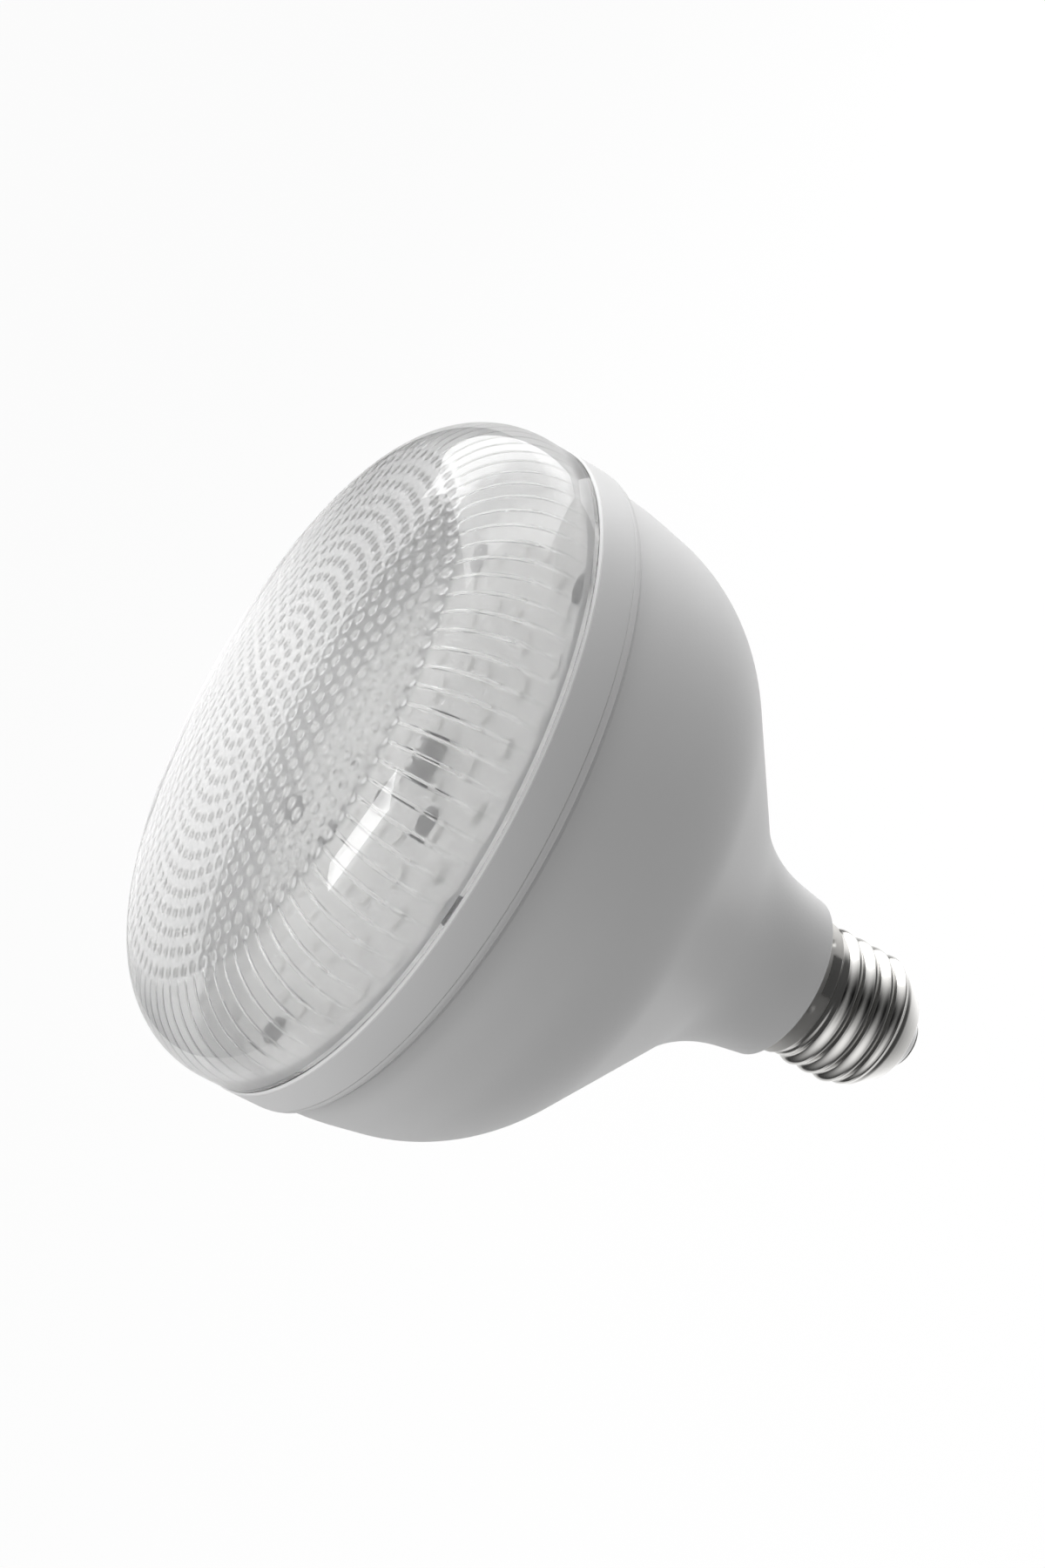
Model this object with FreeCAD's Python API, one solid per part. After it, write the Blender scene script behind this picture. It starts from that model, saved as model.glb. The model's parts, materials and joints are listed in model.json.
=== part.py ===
import FreeCAD, Part
import math
import os

Vector = FreeCAD.Vector

# All sizes are millimetres and degrees. The axis of the bulb is Z: the tip of its centre contact is the
# origin, the screw cap is at the bottom and the lens is at the top.

# Screw cap
thread_diameter = 26.2
thread_pitch = 3.629
thread_depth = 1.1
thread_crest_width = 2.7
thread_start_angle = 301.3
thread_end_space = 1.8
cap_wall = 0.4
collar_diameter = 26.0
contact_diameter = 9.5
contact_flat_diameter = 6.4
contact_height = 1.0
rivet_diameter = 2.0
rivet_stand = 0.8
insulator_seat_diameter = 9.8
insulator_height = 3.0
insulator_flange = 1.2
cap_end_diameter = 18.0
cap_end_hole = 16.0
cap_end_height = 4.2
thread_height = 16.0
collar_height = 4.6
crimp_diameter = 1.3
crimp_depth = 0.25
crimp_count = 6
crimp_angle = 259.4
crimp_below_rim = 1.45

# Plastic body, upwards from the cap
neck_diameter = 30.8
neck_bevel = 0.7
neck_draft = 9.2
neck_height = 16.15
neck_flare_radius = 29.5
flare_height = 33.55
shoulder_radius = 34.5
shoulder_height = 19.85
shoulder_draft = 9.7
skirt_set_back = 1.5
skirt_height = 6.85
skirt_draft = 3.5
groove_height = 0.75
groove_depth = 0.4
bead_height = 1.65
bead_radius = 1.1
body_wall = 2.2
spigot_height = 6.0
spigot_bore = 19.8
upstand_height = 1.5
upstand_wall = 1.2
seam_bevel = 0.25

# Ring and lens
ring_diameter = 123.0
ring_step = 1.4
ring_height = 6.4
ring_ledge_height = 1.2
ring_edge_radius = 0.4
lens_set_back = 0.2
lens_wall = 2.2
lens_flange_height = 0.7
lens_flange_step = 0.8
lens_lip_height = 3.2
lens_lip_wall = 1.4
lens_side_height = 4.3
lens_corner_radius = 17.2
lens_dome_radius = 194.0
face_margin = 12.5
rib_count = 96
rib_width = 1.1
rib_depth = 0.55

# Heat sink and light board
sink_wall = 1.2
sink_plate = 1.6
sink_above_neck = 20.0
plate_below_bead = 0.7
board_thickness = 1.6
board_rim_space = 1.0
wire_hole_diameter = 5.2
wire_hole_x = 3.8
wire_hole_y = -2.2
chip_rings = 4
chip_screw_space = 5.5
chips_per_ring = 6
chip_length = 3.5
chip_width = 2.8
chip_height = 0.7
connector_size = (7.0, 5.6, 4.2)
screw_diameter = 3.0
screw_length = 6.0
screw_head_diameter = 5.4
screw_head_height = 1.8
screw_slot_width = 0.7
outer_screw_inset = 7.3
outer_screw_count = 5
outer_screw_angle = 36.0
inner_screw_ring = 1.5
inner_screw_angles = (108.0, 252.0)

# Driver
driver_thickness = 1.6
driver_end_space = 0.4
driver_groove_depth = 0.8
driver_stop = 1.0
part_space = 0.4
lead_diameter = 0.7
lead_stub = 1.0
winding_thickness = 0.9
winding_overhang = 1.6
winding_pin_inset = 0.6
can_groove_foot = 1.6
can_groove_depth = 0.4
part_edge = 0.5
chip_pin_pitch = 1.27
chip_pin_width = 0.4
chip_pin_reach = 1.0
wire_diameter = 1.3
wire_bend = 3.0
wire_spread = 8.0

# Clearances
press_space = 0.1
slide_space = 0.15
seat_space = 0.3
screw_space = 0.2

ring_radius = ring_diameter / 2
skirt_radius = ring_radius - skirt_set_back
thread_radius = thread_diameter / 2
root_radius = thread_radius - thread_depth
collar_radius = collar_diameter / 2
neck_radius = neck_diameter / 2

# Heights above the tip of the contact
insulator_foot = contact_height
cap_end_foot = insulator_foot + insulator_height
thread_foot = cap_end_foot + cap_end_height
collar_foot = thread_foot + thread_height
neck_foot = collar_foot + collar_height
flare_foot = neck_foot + neck_height
shoulder_foot = flare_foot + flare_height
skirt_foot = shoulder_foot + shoulder_height
groove_foot = skirt_foot + skirt_height
bead_foot = groove_foot + groove_height
ring_foot = bead_foot + bead_height
ring_top = ring_foot + ring_height
lens_foot = ring_top + lens_flange_height
corner_height = lens_foot + lens_side_height
plate_top = ring_foot - plate_below_bead
board_top = plate_top + board_thickness
neck_floor = neck_foot + body_wall
spigot_foot = collar_foot - spigot_height
driver_foot = spigot_foot + driver_stop

spigot_radius = collar_radius - cap_wall - press_space
lower_spigot_radius = root_radius - cap_wall - seat_space
bore_radius = spigot_bore / 2
rim_bore_radius = skirt_radius - body_wall
board_radius = rim_bore_radius - board_rim_space
outer_screw_radius = board_radius - outer_screw_inset
chip_ring_pitch = (outer_screw_radius - chip_screw_space) / chip_rings
inner_screw_radius = inner_screw_ring * chip_ring_pitch
driver_half_width = bore_radius + driver_groove_depth - press_space
driver_face = driver_thickness / 2


def at(radius, height):
    return Vector(radius, 0, height)


def rounded_path(corners):
    """Edges of an open path through (point, radius) corners, with tangent arcs at the inner corners."""
    edges = []
    start = corners[0][0]
    for i in range(1, len(corners) - 1):
        corner, radius = corners[i]
        back = (corners[i - 1][0] - corner).normalize()
        ahead = (corners[i + 1][0] - corner).normalize()
        if radius <= 0:
            edges.append(Part.LineSegment(start, corner).toShape())
            start = corner
            continue
        half = back.getAngle(ahead) / 2
        reach = radius / math.tan(half)
        bisector = (back + ahead).normalize()
        middle = corner + bisector * (radius / math.sin(half) - radius)
        arc_start = corner + back * reach
        arc_end = corner + ahead * reach
        if (arc_start - start).Length > 1e-6:
            edges.append(Part.LineSegment(start, arc_start).toShape())
        edges.append(Part.Arc(arc_start, middle, arc_end).toShape())
        start = arc_end
    edges.append(Part.LineSegment(start, corners[-1][0]).toShape())
    return edges


def arc_about(centre, radius, from_angle, to_angle):
    """Arc in the XZ plane, with its angles measured from the X axis towards Z."""
    points = []
    for angle in (from_angle, (from_angle + to_angle) / 2, to_angle):
        points.append(centre + Vector(math.cos(angle), 0, math.sin(angle)) * radius)
    return Part.Arc(*points).toShape()


def line(*points):
    return [Part.LineSegment(a, b).toShape() for a, b in zip(points, points[1:])]


def turned(edges, angle=360):
    """Solid of revolution about the axis from the edges of a closed outline."""
    face = Part.Face(Part.Wire(Part.__sortEdges__(edges)))
    return face.revolve(Vector(0, 0, 0), Vector(0, 0, 1), angle)


def turned_outline(points):
    """Solid of revolution from the (radius, height) or (radius, height, rounding) corners of an outline."""
    corners = [(at(*p[:2]), p[2] if len(p) > 2 else 0) for p in points]
    corners.append(corners[0])
    return turned(rounded_path(corners))


def around(shape, count, first=0.0):
    """Copies of a shape at even steps round the axis."""
    copies = []
    for i in range(count):
        copy = shape.copy()
        copy.rotate(Vector(0, 0, 0), Vector(0, 0, 1), first + 360.0 * i / count)
        copies.append(copy)
    return copies


def tube(points, diameter, bend):
    """Round wire along straight runs joined by tangent arcs."""
    path = Part.Wire(rounded_path([(p, bend) for p in points]))
    section = Part.Wire(Part.makeCircle(diameter / 2, points[0], points[1] - points[0]))
    return path.makePipeShell([section], True, False)


def body_outline():
    """Corners of the body's outside from the neck to the groove, with the rounding of each."""
    flare_start = neck_radius + neck_height * math.tan(math.radians(neck_draft))
    skirt_start = skirt_radius - skirt_height * math.tan(math.radians(skirt_draft))
    shoulder_start = skirt_start - shoulder_height * math.tan(math.radians(shoulder_draft))
    return [(neck_radius, neck_foot, 0), (flare_start, flare_foot, neck_flare_radius),
            (shoulder_start, shoulder_foot, shoulder_radius),
            (skirt_start, skirt_foot, 1.5 * shoulder_radius), (skirt_radius, groove_foot, 0)]


def inside_outline(depth, from_height, to_height):
    """The body's outline moved inwards, and cut off at two heights."""
    outside = body_outline()
    lines = []
    for (r0, z0, _), (r1, z1, _) in zip(outside, outside[1:]):
        length = math.hypot(r1 - r0, z1 - z0)
        dr, dz = (r1 - r0) / length, (z1 - z0) / length
        lines.append((r0 - dz * depth, z0 + dr * depth, dr, dz))
    corners = []
    for i in range(len(lines) - 1):
        r0, z0, a0, b0 = lines[i]
        r1, z1, a1, b1 = lines[i + 1]
        turn = a0 * b1 - b0 * a1
        step = ((r1 - r0) * b1 - (z1 - z0) * a1) / turn
        rounding = outside[i + 1][2] + (depth if turn < 0 else -depth)
        corners.append((r0 + a0 * step, z0 + b0 * step, rounding))
    corners = [c for c in corners if from_height < c[1] < to_height]
    first = len(lines) - 1 - len(corners)
    for index, height, place in ((first, from_height, 0), (-1, to_height, len(corners) + 1)):
        r0, z0, dr, dz = lines[index]
        corners.insert(place, (r0 + dr * (height - z0) / dz, height, 0))
    return corners


def make_centre_contact():
    flat = contact_flat_diameter / 2
    radius = contact_diameter / 2
    rivet = rivet_diameter / 2
    rivet_top = cap_end_foot + cap_wall + insulator_flange
    return turned_outline([(0, 0), (flat, 0), (radius, contact_height * 0.6, 0.5), (radius, contact_height),
                           (rivet, contact_height), (rivet, rivet_top),
                           (rivet * 1.8, rivet_top), (rivet * 1.8, rivet_top + rivet_stand),
                           (0, rivet_top + rivet_stand)])


def make_cap_insulator():
    hole = rivet_diameter / 2 + press_space / 2
    neck = cap_end_hole / 2 - press_space / 2
    flange = (cap_end_diameter - cap_wall) / 2 - seat_space - press_space
    inside = cap_end_foot + cap_wall
    return turned_outline([(hole, insulator_foot), (insulator_seat_diameter / 2, insulator_foot),
                           (neck, cap_end_foot), (neck, inside), (flange, inside),
                           (flange, inside + insulator_flange), (hole, inside + insulator_flange)])


def make_screw_shell():
    """Rolled cap: a thin cup with an open end, a rounded thread and a smooth collar with crimp dimples."""
    end_radius = cap_end_diameter / 2
    step = collar_foot + cap_wall
    cup = turned_outline([(cap_end_hole / 2, cap_end_foot), (end_radius, cap_end_foot, 0.6),
                          (root_radius, thread_foot, 2.0), (root_radius, collar_foot), (collar_radius, step),
                          (collar_radius, neck_foot), (collar_radius - cap_wall, neck_foot),
                          (collar_radius - cap_wall, step), (root_radius - cap_wall, collar_foot),
                          (root_radius - cap_wall, thread_foot + cap_wall / 2, 2.0),
                          (end_radius - cap_wall / 2, cap_end_foot + cap_wall, 0.3),
                          (cap_end_hole / 2, cap_end_foot + cap_wall)])
    helix_foot = thread_foot + thread_end_space
    helix_height = thread_height - 2 * thread_end_space
    helix = Part.makeHelix(thread_pitch, helix_height, root_radius)
    embedded = root_radius - cap_wall / 2
    low, high = at(embedded, -thread_crest_width / 2), at(embedded, thread_crest_width / 2)
    crest = Part.Arc(low, at(thread_radius, 0), high).toShape()
    ridge = Part.Wire([crest, Part.LineSegment(high, low).toShape()])
    thread = Part.Wire(helix).makePipeShell([ridge], True, True)
    thread.rotate(Vector(0, 0, 0), Vector(0, 0, 1), thread_start_angle)
    thread.translate(Vector(0, 0, helix_foot))
    shell = cup.fuse(thread)
    dimple = Part.makeSphere(crimp_diameter / 2, at(collar_radius + crimp_diameter / 2 - crimp_depth,
                                                    neck_foot - crimp_below_rim))
    return shell.cut(around(dimple, crimp_count, crimp_angle))


def make_housing_shell():
    bead = ring_radius - press_space
    outside = body_outline()
    neck, skirt = outside[0], outside[-1]
    slope = (outside[1][0] - neck[0]) / (outside[1][1] - neck[1])
    outer = [(neck[0] - neck_bevel, neck_foot), (neck[0] + slope * neck_bevel, neck_foot + neck_bevel)]
    outer += outside[1:-1]
    outer += [skirt, (skirt_radius - groove_depth, groove_foot + groove_depth, groove_depth / 2),
              (skirt_radius - groove_depth, bead_foot, groove_depth / 2),
              (bead, bead_foot + groove_depth / 2, bead_radius),
              (bead, ring_foot - seam_bevel), (bead - seam_bevel, ring_foot)]
    upstand = rim_bore_radius + upstand_wall
    rim = [(upstand, ring_foot), (upstand, ring_foot + upstand_height),
           (rim_bore_radius, ring_foot + upstand_height), (rim_bore_radius, groove_foot)]
    inner = inside_outline(body_wall, neck_floor, groove_foot)[:-1]
    foot = [(bore_radius, neck_floor), (bore_radius, spigot_foot), (lower_spigot_radius, spigot_foot),
            (lower_spigot_radius, collar_foot), (spigot_radius, collar_foot + cap_wall),
            (spigot_radius, neck_foot)]
    body = turned_outline(outer + rim + inner[::-1] + foot)
    groove_reach = bore_radius + driver_groove_depth
    groove = Part.makeBox(2 * groove_reach, driver_thickness + 2 * press_space, neck_floor - driver_foot,
                          Vector(-groove_reach, -driver_face - press_space, driver_foot))
    return body.cut(groove)


def make_front_ring():
    upstand = rim_bore_radius + upstand_wall + slide_space
    lip = lens_lip_radius() + slide_space
    ledge = ring_foot + upstand_height + slide_space + ring_ledge_height
    return turned_outline([(upstand, ring_foot), (ring_radius - seam_bevel, ring_foot),
                           (ring_radius, ring_foot + seam_bevel), (ring_radius, ring_top, ring_edge_radius),
                           (lip, ring_top), (lip, ledge), (rim_bore_radius, ledge),
                           (rim_bore_radius, ledge - ring_ledge_height),
                           (upstand, ledge - ring_ledge_height)])


def lens_lip_radius():
    """Outside of the lip that locates the lens in its ring."""
    return ring_radius - lens_set_back - lens_wall - slide_space


def lens_section(depth):
    """Centres and radii of the rounded side and of the dome, for a surface depth inside the lens."""
    corner = at(ring_radius - lens_set_back - lens_corner_radius, corner_height)
    rise = math.sqrt((lens_dome_radius - lens_corner_radius) ** 2 - corner.x ** 2)
    dome = at(0, corner.z - rise)
    meet = math.atan2(rise, corner.x)
    return corner, lens_corner_radius - depth, dome, lens_dome_radius - depth, meet


def make_lens_cover():
    """Clear cover: a shallow dome with a rounded side, ribbed inside, and a flange and lip at its foot."""
    top = math.pi / 2
    corner, round_out, dome, dome_out, meet = lens_section(0)
    _, round_in, _, dome_in, _ = lens_section(lens_wall)
    outside, inside = corner.x + round_out, corner.x + round_in
    lip = lens_lip_radius()
    floor = lens_foot + lens_flange_step
    edges = [arc_about(corner, round_out, 0, meet), arc_about(dome, dome_out, meet, top),
             arc_about(dome, dome_in, top, meet), arc_about(corner, round_in, meet, 0)]
    edges += line(at(0, dome.z + dome_out), at(0, dome.z + dome_in))
    edges += line(at(inside, corner.z), at(inside, floor), at(lip - lens_lip_wall, floor),
                  at(lip - lens_lip_wall, ring_top - lens_lip_height), at(lip, ring_top - lens_lip_height),
                  at(lip, ring_top), at(ring_radius, ring_top), at(ring_radius, lens_foot),
                  at(outside, lens_foot), at(outside, corner.z))
    cover = turned(edges)

    face_edge = math.acos((ring_radius - face_margin - corner.x) / round_in)
    root, crest = round_in + lens_wall / 4, round_in - rib_depth
    end = math.pi / 2 - (math.pi / 2 - face_edge) * 0.9
    rib_edges = [arc_about(corner, root, 0, end), arc_about(corner, crest, 0, end)]
    rib_edges += line(corner + Vector(math.cos(end), 0, math.sin(end)) * root,
                      corner + Vector(math.cos(end), 0, math.sin(end)) * crest)
    rib_edges += line(at(corner.x + crest, corner.z), at(corner.x + crest, floor),
                      at(corner.x + root, floor), at(corner.x + root, corner.z))
    rib_angle = math.degrees(rib_width / inside)
    rib = turned(rib_edges, rib_angle)
    return cover.fuse(around(rib, rib_count, -rib_angle / 2))


def make_heat_sink():
    """Spun bell that follows the inside of the body, closed by the plate that carries the light board."""
    foot = neck_foot + sink_above_neck
    outer = inside_outline(body_wall + seat_space, foot, groove_foot)
    inner = inside_outline(body_wall + seat_space + sink_wall, foot, groove_foot)
    edge = outer[-1][0]
    underside = plate_top - sink_plate
    inner = [c for c in inner[:-1] if c[1] < underside]
    points = outer[:-1] + [(edge, groove_foot, 0), (edge, plate_top, 0.8), (0, plate_top), (0, underside),
                           (edge - sink_wall, underside, 0.8)]
    bell = turned_outline(points + inner[::-1])
    return bell.cut(board_holes(underside - seat_space, plate_top + seat_space))


def screw_places():
    places = []
    for i in range(outer_screw_count):
        places.append((outer_screw_radius, outer_screw_angle + 360.0 * i / outer_screw_count))
    places += [(inner_screw_radius, angle) for angle in inner_screw_angles]
    return [Vector(r * math.cos(math.radians(a)), r * math.sin(math.radians(a)), 0) for r, a in places]


def board_holes(low, high):
    """Screw holes and the wire hole, between two heights."""
    holes = []
    radius = screw_diameter / 2 + screw_space
    for place in screw_places():
        holes.append(Part.makeCylinder(radius, high - low, place + Vector(0, 0, low)))
    wire_place = Vector(wire_hole_x, wire_hole_y, low)
    holes.append(Part.makeCylinder(wire_hole_diameter / 2, high - low, wire_place))
    return holes


def make_led_board():
    disc = Part.makeCylinder(board_radius, board_thickness, at(0, plate_top))
    return disc.cut(board_holes(plate_top - seat_space, board_top + seat_space))


def make_led_chips():
    """Chips in rings of 6, 12, 18 and so on, each turned to face along its ring."""
    chips = []
    for ring in range(1, chip_rings + 1):
        radius = ring * chip_ring_pitch
        chip = Part.makeBox(chip_width, chip_length, chip_height,
                            Vector(radius - chip_width / 2, -chip_length / 2, board_top))
        step = 360.0 / (ring * chips_per_ring)
        chips += around(chip, ring * chips_per_ring, step / 2)
    return Part.makeCompound(chips)


def make_board_screws():
    screws = []
    radius, head = screw_diameter / 2, screw_head_diameter / 2
    tip = board_top - screw_length
    head_top = board_top + screw_head_height
    for place in screw_places():
        screw = turned_outline([(0, tip), (radius * 0.6, tip), (radius, tip + radius * 0.6),
                                (radius, board_top), (head, board_top),
                                (head, head_top, screw_head_height * 0.6), (0, head_top)])
        slot_length, slot_depth = 0.8 * screw_head_diameter, screw_head_height / 2
        slot = Part.makeBox(slot_length, screw_slot_width, slot_depth,
                            Vector(-slot_length / 2, -screw_slot_width / 2, head_top - slot_depth))
        cross = slot.copy()
        cross.rotate(Vector(0, 0, 0), Vector(0, 0, 1), 90)
        screw = screw.cut([slot, cross])
        screw.translate(place)
        screws.append(screw)
    return Part.makeCompound(screws)


def make_board_connector():
    length, width, height = connector_size
    block = Part.makeBox(length, width, height, Vector(-length / 2, -width / 2, 0))
    block = block.makeChamfer(part_edge, [e for e in block.Edges if e.BoundBox.ZMin > height / 2])
    slots = []
    for x in (-length / 4, length / 4):
        slots.append(Part.makeBox(length / 5, width / 2, height / 2, Vector(x - length / 10, 0, height / 2)))
    block = block.cut(slots)
    block.translate(Vector(wire_hole_x, wire_hole_y, board_top))
    return block


# Parts on the driver board: side is 1 for the front and -1 for the back, and x and z are the part's place.
# The first two stand at a rise over the board's foot inside the cap. The others stand in rows, each a
# part_space above the row below it, and the board ends above the last row.
rectifier = dict(side=1, x=-3.2, rise=6.2, width=8.4, height=6.4, thickness=3.2, spread=5.0)
fuse = dict(side=1, x=5.6, rise=6.4, diameter=3.2, length=7.6, stand=0.3, spread=10.4)
varistor = dict(side=1, x=-5.2, diameter=7.4, thickness=3.4, stand=0.8, spread=5.0, edge=0.9)
film = dict(side=1, x=4.6, width=9.4, height=5.2, thickness=7.4, spread=7.5)
inductor = dict(side=1, x=-5.2, diameter=8.2, length=8.6, waist=5.4, spread=5.0)
diode = dict(side=1, x=4.8, diameter=2.7, length=5.2, stand=0.3, spread=7.8)
chip = dict(side=-1, x=0.0, width=4.9, height=3.9, thickness=1.5)
input_can = dict(side=1, x=-5.1, diameter=9.4, length=13.0, spread=4.4)
output_can = dict(side=1, x=5.1, diameter=8.0, length=11.0, spread=3.4)
transformer = dict(side=1, x=0.0, width=15.6, height=12.6, thickness=11.0, leg=4.2, window=3.2)

for item in (rectifier, fuse):
    item["z"] = driver_foot + item["rise"]

row_top = neck_floor
for row in ((varistor, film), (inductor, diode, chip), (input_can, output_can), (transformer,)):
    row_height = max(item.get("height", item.get("diameter", 0)) for item in row)
    for item in row:
        item["z"] = row_top + part_space + row_height / 2
    row_top += part_space + row_height
driver_top = row_top + driver_end_space
driver_height = driver_top - driver_foot


def placed(shape, item):
    """Moves a shape from the board's own frame, with Y away from its face, to its side and place."""
    if item["side"] < 0:
        shape.rotate(Vector(0, 0, 0), Vector(0, 0, 1), 180)
    shape.translate(Vector(item["x"], item["side"] * driver_face, item["z"]))
    return shape


def lead_places(item, along="z"):
    offset = item["spread"] / 2
    return [Vector(0, 0, s * offset) if along == "z" else Vector(s * offset, 0, 0) for s in (-1, 1)]


def leads(item, height, along="z"):
    """Two straight leads from a height over the board's face through the board."""
    length = height + driver_thickness + lead_stub
    foot = Vector(0, -driver_thickness - lead_stub, 0)
    return [Part.makeCylinder(lead_diameter / 2, length, place + foot, Vector(0, 1, 0))
            for place in lead_places(item, along)]


def make_varistor():
    disc = Part.makeCylinder(varistor["diameter"] / 2, varistor["thickness"],
                             Vector(0, varistor["stand"], 0), Vector(0, 1, 0))
    disc = disc.makeFillet(varistor["edge"], disc.Edges[:1] + disc.Edges[2:3])
    return placed(disc.fuse(leads(varistor, varistor["stand"] + 1)), varistor)


def axial_part(item):
    """A cylinder that lies along the board, on two leads bent down into it."""
    height = item["stand"] + item["diameter"] / 2
    body = Part.makeCylinder(item["diameter"] / 2, item["length"], Vector(0, height, -item["length"] / 2))
    body = body.makeFillet(item["diameter"] / 8, [e for e in body.Edges if e.Closed])
    radius = lead_diameter / 2
    for sign in (-1, 1):
        reach = sign * item["spread"] / 2
        points = [Vector(0, height, sign * item["length"] / 4), Vector(0, height, reach),
                  Vector(0, -driver_thickness - lead_stub, reach)]
        body = body.fuse(tube(points, 2 * radius, 2 * radius))
    return placed(body, item)


def make_bridge_rectifier():
    block = Part.makeBox(rectifier["width"], rectifier["thickness"], rectifier["height"],
                         Vector(-rectifier["width"] / 2, 0, -rectifier["height"] / 2))
    upper = [e for e in block.Edges if e.BoundBox.YMin > rectifier["thickness"] / 2]
    block = block.makeChamfer(part_edge, upper)
    return placed(block.fuse(leads(rectifier, 1, "x")), rectifier)


def make_line_inductor():
    """Drum core with its winding between two flanges."""
    radius, waist, length = inductor["diameter"] / 2, inductor["waist"] / 2, inductor["length"]
    flange = length / 8
    coil = waist + winding_thickness
    drum = turned_outline([(0, 0), (radius, 0), (radius, flange), (coil, flange), (coil, length - flange),
                           (radius, length - flange), (radius, length), (0, length)])
    drum.rotate(Vector(0, 0, 0), Vector(1, 0, 0), -90)
    return placed(drum.fuse(leads(inductor, 1)), inductor)


def make_film_capacitor():
    block = Part.makeBox(film["width"], film["thickness"], film["height"],
                         Vector(-film["width"] / 2, 0, -film["height"] / 2))
    block = block.makeFillet(part_edge, [e for e in block.Edges if e.BoundBox.YMin > film["thickness"] / 2])
    return placed(block.fuse(leads(film, 1, "x")), film)


def can_capacitor(item):
    """Electrolytic can that stands off the board, with its rolled groove near the foot."""
    radius, length = item["diameter"] / 2, item["length"]
    groove, depth = can_groove_foot, can_groove_depth
    can = turned_outline([(0, 0), (radius, 0, part_edge), (radius, groove), (radius - depth, groove + depth),
                          (radius - depth, groove + 2 * depth), (radius, groove + 3 * depth),
                          (radius, length, part_edge), (0, length)])
    can.rotate(Vector(0, 0, 0), Vector(1, 0, 0), -90)
    return placed(can.fuse(leads(item, 1)), item)


def make_transformer_core():
    """Two E-shaped halves face to face, with a middle leg through the winding."""
    width, height, depth = transformer["width"], transformer["height"], transformer["thickness"]
    leg, window = transformer["leg"], transformer["window"]
    core = Part.makeBox(width, depth - 2 * press_space, height,
                        Vector(-width / 2, press_space, -height / 2))
    windows = []
    for sign in (-1, 1):
        low = leg / 2 if sign > 0 else -leg / 2 - window
        windows.append(Part.makeBox(window, depth, height - leg, Vector(low, 0, -(height - leg) / 2)))
    return placed(core.cut(windows), transformer)


def pinned_transformer():
    """The transformer with the spread of its bobbin's pins, which stand inside the winding's two ends."""
    reach = transformer["leg"] / 2 + transformer["window"] - press_space
    return dict(transformer, spread=2 * (reach - winding_pin_inset))


def make_transformer_winding():
    """Square coil round the middle leg, on the pins of its bobbin."""
    depth, height = transformer["thickness"], transformer["height"] - transformer["leg"] - 2 * press_space
    reach = transformer["leg"] / 2 + transformer["window"] - press_space
    hole = transformer["leg"] / 2 + press_space
    coil = Part.makeBox(2 * reach, depth + winding_overhang, height, Vector(-reach, 0, -height / 2))
    core_space = Part.makeBox(2 * hole, depth, height, Vector(-hole, 0, -height / 2))
    coil = coil.cut(core_space)
    return placed(coil.fuse(leads(pinned_transformer(), 1, "x")), transformer)


def make_control_chip():
    block = Part.makeBox(chip["width"], chip["thickness"], chip["height"],
                         Vector(-chip["width"] / 2, 0, -chip["height"] / 2))
    upper = [e for e in block.Edges if e.BoundBox.YMin > chip["thickness"] / 2]
    block = block.makeChamfer(part_edge / 2, upper)
    feet = []
    span = chip["height"] + 2 * chip_pin_reach
    for i in range(4):
        foot = Vector((i - 1.5) * chip_pin_pitch - chip_pin_width / 2, 0, -span / 2)
        feet.append(Part.makeBox(chip_pin_width, chip["thickness"] / 3, span, foot))
    return placed(block.fuse(feet), chip)


def make_driver_board():
    board = Part.makeBox(2 * driver_half_width, driver_thickness, driver_height,
                         Vector(-driver_half_width, -driver_face, driver_foot))
    pinned = [(varistor, "z"), (fuse, "z"), (rectifier, "x"), (inductor, "z"), (film, "x"), (input_can, "z"),
              (output_can, "z"), (diode, "z"), (pinned_transformer(), "x")]
    holes = []
    for item, along in pinned:
        for place in lead_places(item, along):
            foot = Vector(item["x"], -driver_thickness, item["z"]) + place * item["side"]
            holes.append(Part.makeCylinder(lead_diameter / 2 + press_space, 2 * driver_thickness, foot,
                                           Vector(0, 1, 0)))
    return board.cut(holes)


def make_live_wire():
    rivet_top = cap_end_foot + cap_wall + insulator_flange + rivet_stand
    drop = (driver_foot - rivet_top) / 3
    start = -wire_spread / 2
    path = [Vector(start, 0, driver_foot), Vector(start, 0, driver_foot - drop),
            Vector(0, 0, rivet_top + drop), Vector(0, 0, rivet_top)]
    return tube(path, wire_diameter, wire_bend)


def make_neutral_wire():
    wall = root_radius - cap_wall - press_space
    drop = 1.5 * wire_bend
    start = wire_spread / 2
    return tube([Vector(start, 0, driver_foot), Vector(start, 0, driver_foot - drop),
                 Vector(wall, 0, driver_foot - drop)], wire_diameter, 0.8 * wire_bend)


def led_wire(sign):
    x = wire_hole_x + sign * wire_diameter
    rise = (board_top - driver_top) / 4
    start = sign * wire_spread / 2
    path = [Vector(start, 0, driver_top), Vector(start, 0, driver_top + rise),
            Vector(x, wire_hole_y, board_top - rise), Vector(x, wire_hole_y, board_top)]
    return tube(path, wire_diameter, 2 * wire_bend)


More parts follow.
